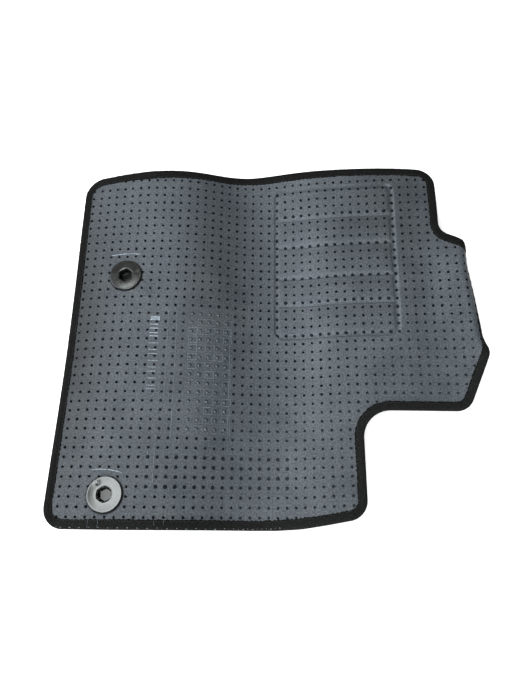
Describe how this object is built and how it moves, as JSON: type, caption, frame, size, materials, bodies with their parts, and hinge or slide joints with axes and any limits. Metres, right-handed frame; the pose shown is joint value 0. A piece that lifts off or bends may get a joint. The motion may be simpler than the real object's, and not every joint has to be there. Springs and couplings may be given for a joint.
{
  "type": "car floor mat",
  "caption": "Bound carpet car floor mat lying carpet side down, its nibbed anti-slip backing up, with round snap fixings.",
  "frame": {"origin": "middle of the mat's bounding box at the lowest point of the carpet side", "axes": "+X from the seat edge with the fixings to the pedal edge, +Y to the notched long side, +Z out of the nibbed backing; turned over for use"},
  "size_m": [0.5988, 0.536, 0.0566],
  "materials": {
    "backing": "matt grey moulded anti-slip compound with nibs",
    "primary": "woven tuft carrier, hidden",
    "pile": "black cut pile carpet",
    "heel_pad": "black ribbed heel pad",
    "tape": "near-black woven binding tape",
    "thread": "dark sewing thread",
    "fixing": "satin dark grey moulded plastic",
    "cap": "satin black moulded plastic"
  },
  "bodies": {
    "root": {"backing_sheet": "backing", "primary_backing": "primary", "carpet_pile": "pile", "heel_pad": "heel_pad", "binding_tape": "tape", "binding_needle_thread": "thread", "binding_bobbin_thread": "thread", "fixing_ring_rear_left": "fixing", "fixing_cap_rear_left": "cap", "fixing_ring_rear_right": "fixing", "fixing_cap_rear_right": "cap"}
  },
  "joints": []
}
